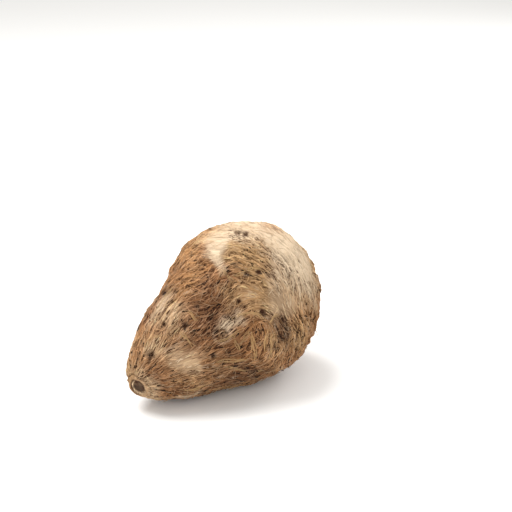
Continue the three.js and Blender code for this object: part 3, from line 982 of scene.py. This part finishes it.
class TARO_OT_strips(bpy.types.Operator):
    """Lay the broad strips and the pale strands that the leaf bases left"""

    bl_idname = "taro.strips"
    bl_label = "Husk strips"

    def execute(self, context):
        skin = the_skin()
        count = context.scene.taro_fibres.strips
        strokes = Strokes(63, count, 13)
        random = strokes.random
        down, around = strokes.scatter(lambda d, a, on: on.sample(on.husk, d, a) ** 2)
        laid = strokes.trace(down, around, random.uniform(5.0, 15.0, count), 0.22, 0.035)
        share = random.uniform(0, 1, count)[:, None, None]
        colour = zone_colour(*laid, skin.sample(skin.ground, *laid)) * (0.75 + 0.5 * share)
        colour = towards(colour, 0.15, STRAW)
        lift = random.uniform(0.02, 0.2, count)[:, None]
        size = random.uniform(0.45, 0.9, count)
        fibre_object("husk_strips", laid, lift, size, 0.3, colour, 0.8)
        self.strands(skin)
        return {"FINISHED"}

    def strands(self, skin):
        """Lays two pale threads side by side along each strand."""
        random = np.random.default_rng(65)
        share = np.linspace(0, 1, 15)
        down, around, size = [], [], []
        for places in STRANDS:
            places = np.array(places)
            for aside in (-0.3, 0.3):
                stretch = 0.5 + (share - 0.5) * random.uniform(0.8, 1.15)
                at = stretch * (len(places) - 1)
                along, across = (np.interp(at, range(len(places)), row) for row in places.T)
                across = np.radians(across)
                turns = share * random.uniform(0.8, 1.6) + random.uniform(0, 1)
                wave = aside + 0.3 * np.sin(2 * math.pi * turns)
                heading = np.arctan2(
                    np.gradient(across) * OUTLINE.radius_at(along), np.gradient(along)
                )
                down.append(along - wave * np.sin(heading))
                around.append(across + wave * np.cos(heading) / OUTLINE.radius_at(along))
                size.append(random.uniform(0.4, 0.68))
        down, around, size = np.array(down), np.array(around), np.array(size)
        points = skin.sample(skin.ground, down, around)
        tone = 0.75 + 0.35 * random.uniform(0, 1, (len(size), 1, 1))
        tone = tone + 0.25 * lattice_noise(points / 1.6, 66)[..., None]
        colour = towards(zone_colour(down, around, points), 0.62, STRAND) * tone
        lift = np.full((len(size), 1), 0.14)
        fibre_object("leaf_strands", (down, around), lift, size, 0.6, colour, 0.75)


class TARO_OT_hairs(bpy.types.Operator):
    """Stand the loose hairs off the skin"""

    bl_idname = "taro.hairs"
    bl_label = "Loose hairs"

    def execute(self, context):
        skin = the_skin()
        count = context.scene.taro_fibres.hairs
        strokes = Strokes(64, count, 11)
        random = strokes.random
        down, around = strokes.scatter(lambda d, a, on: 0.1 + 0.9 * on.sample(on.husk, d, a))
        laid = strokes.trace(down, around, random.uniform(3.0, 9.0, count), 0.7, 0.12)
        share = np.linspace(0, 1, 11)[None, :]
        rise = random.uniform(0.15, 1.2, count)[:, None] ** 2 * share**1.5 + 0.12
        size = random.uniform(0.12, 0.22, count)
        for spot, angle, heading, reach, height in LONE_HAIRS:
            heading = math.radians(heading)
            down = spot + share * reach * math.cos(heading)
            turn = share * reach * math.sin(heading) / OUTLINE.radius_at(spot)
            lone = np.stack([down, math.radians(angle) + turn])
            laid = np.concatenate([laid, lone], axis=1)
            rise = np.vstack([rise, height * share])
            size = np.append(size, 0.26)
        colour = towards(zone_colour(*laid, skin.sample(skin.ground, *laid)), 0.5, PALE)
        fibre_object("loose_hairs", laid, rise, size, 0.8, colour, 0.7)
        return {"FINISHED"}


class TARO_OT_stage(bpy.types.Operator):
    """Set the floor, the light and the camera"""

    bl_idname = "taro.stage"
    bl_label = "Stage"

    def execute(self, context):
        settings = context.scene.taro_stage
        scene = context.scene
        scene.view_settings.view_transform = "Standard"
        bpy.ops.mesh.primitive_plane_add(size=8.0, location=(0, 0, 0))
        floor = context.object
        floor.name = "floor"
        graph = Graph("pale floor")
        floor.data.materials.append(
            graph.finish(Base_Color=(0.94, 0.94, 0.935, 1.0), Roughness=0.9, Specular_IOR_Level=0.1)
        )
        world = bpy.data.worlds.new("studio")
        scene.world = world
        world.use_nodes = True
        sky = world.node_tree.nodes["Background"].inputs
        sky["Color"].default_value = (1.0, 0.985, 0.955, 1.0)
        sky["Strength"].default_value = 0.8
        for name, place, size, power in (
            ("key", (-0.12, 0.22, 0.62), 0.45, settings.key_power),
            ("fill", (-0.75, -0.55, 0.45), 0.6, settings.key_power * 0.4),
            ("side", (0.75, 0.05, 0.40), 0.5, settings.key_power * 0.5),
        ):
            light = bpy.data.lights.new(name, "AREA")
            light.shape = "SQUARE"
            light.size = size
            light.energy = power
            lamp = bpy.data.objects.new(name, light)
            lamp.location = place
            aim = Vector((0, 0, 0.03)) - Vector(place)
            lamp.rotation_euler = aim.to_track_quat("-Z", "Y").to_euler()
            scene.collection.objects.link(lamp)
        camera = bpy.data.objects.new("camera", bpy.data.cameras.new("camera"))
        camera.data.lens = settings.lens
        camera.data.sensor_width = 36.0
        camera.data.clip_end = 20.0
        turn, rise = settings.azimuth, settings.elevation
        back = Vector((
            math.sin(turn) * math.cos(rise),
            -math.cos(turn) * math.cos(rise),
            math.sin(rise),
        ))
        camera.location = Vector(settings.aim) + back * settings.distance
        camera.rotation_euler = (math.pi / 2 - rise, 0, turn)
        scene.collection.objects.link(camera)
        scene.camera = camera
        return {"FINISHED"}


class TARO_PT_panel(bpy.types.Panel):
    """The taro root's pieces and settings"""

    bl_idname = "TARO_PT_panel"
    bl_label = "Taro root"
    bl_space_type = "VIEW_3D"
    bl_region_type = "UI"
    bl_category = "Taro root"

    def draw(self, context):
        for group, operators in (
            ("taro_skin", ("taro.skin",)),
            ("taro_fibres", ("taro.fibres", "taro.strips", "taro.hairs")),
            ("taro_stage", ("taro.stage",)),
        ):
            settings = getattr(context.scene, group)
            box = self.layout.box()
            for key in settings.__annotations__:
                box.prop(settings, key)
            for operator in operators:
                box.operator(operator)


CLASSES = (
    TaroSkinSettings,
    TaroFibreSettings,
    TaroStageSettings,
    TARO_OT_skin,
    TARO_OT_fibres,
    TARO_OT_strips,
    TARO_OT_hairs,
    TARO_OT_stage,
    TARO_PT_panel,
)


def register():
    """Adds the classes and their settings."""
    for kind in CLASSES:
        bpy.utils.register_class(kind)
    bpy.types.Scene.taro_skin = PointerProperty(type=TaroSkinSettings)
    bpy.types.Scene.taro_fibres = PointerProperty(type=TaroFibreSettings)
    bpy.types.Scene.taro_stage = PointerProperty(type=TaroStageSettings)


def unregister():
    """Takes the classes and their settings away."""
    del bpy.types.Scene.taro_stage
    del bpy.types.Scene.taro_fibres
    del bpy.types.Scene.taro_skin
    for kind in reversed(CLASSES):
        bpy.utils.unregister_class(kind)


def main():
    """Builds every piece and the stage."""
    register()
    bpy.ops.taro.skin()
    bpy.ops.taro.fibres()
    bpy.ops.taro.strips()
    bpy.ops.taro.hairs()
    bpy.ops.taro.stage()


if __name__ == "__main__":
    main()
